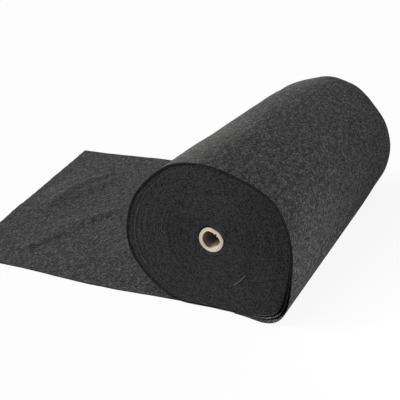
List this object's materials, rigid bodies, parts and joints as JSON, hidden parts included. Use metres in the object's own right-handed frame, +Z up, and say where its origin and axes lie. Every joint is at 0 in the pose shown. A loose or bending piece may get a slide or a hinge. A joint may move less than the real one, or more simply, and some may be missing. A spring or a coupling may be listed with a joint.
{
  "type": "geotextile roll",
  "caption": "Roll of needle-punched geotextile felt, sagged under its own weight, wound on a loose board core, with the free end of its web laid out flat on the ground.",
  "frame": {"origin": "on the floor, straight under the roll's turning axis, at the middle of the web's width", "axes": "+X away from the laid-out lead, the way the roll is pushed; +Y along the roll towards the end whose core mouth is whole; +Z up"},
  "size_m": [2.1598, 1.7398, 0.6652],
  "materials": {
    "felt_face": "charcoal needle-punched felt, matt, with pale stray fibres",
    "felt_edge": "cut edges of the wound felt layers, darker and matt",
    "core_board": "cream grey board, raw cut end",
    "core_kraft": "smooth tan kraft ply"
  },
  "bodies": {
    "lead": {"lead_sheet": "felt_face"},
    "flap": {"lead_flap": "felt_face"},
    "roll": {"outer_turns": "felt_face", "sagged_layers": "felt_edge"},
    "package": {"round_layers": "felt_edge"},
    "core": {"core_liner_ply": "core_kraft", "core_inner_board": "core_board", "core_outer_board": "core_board", "core_cover_ply": "core_kraft"}
  },
  "joints": [
    {"name": "roll_travel", "type": "slide", "parent": "lead", "child": "roll", "axis": [1, 0, 0], "range_m": [0, 0.22]},
    {"name": "roll_turn", "type": "hinge", "parent": "roll", "child": "package", "pos_m": [0, 0, 0.334], "axis": [0, 1, 0], "range_deg": [0, 38]},
    {"name": "core_turn", "type": "hinge", "parent": "roll", "child": "core", "pos_m": [0.00279, 0, 0.33157], "axis": [0, 1, 0], "continuous": true},
    {"name": "flap_lift", "type": "hinge", "parent": "lead", "child": "flap", "pos_m": [-1.15, 0, 0.012], "axis": [0, 1, 0], "range_deg": [0, 150]}
  ],
  "couplings": [
    {"joint": "roll_turn", "follows": "roll_travel", "rad_per_m": 2.994}
  ]
}
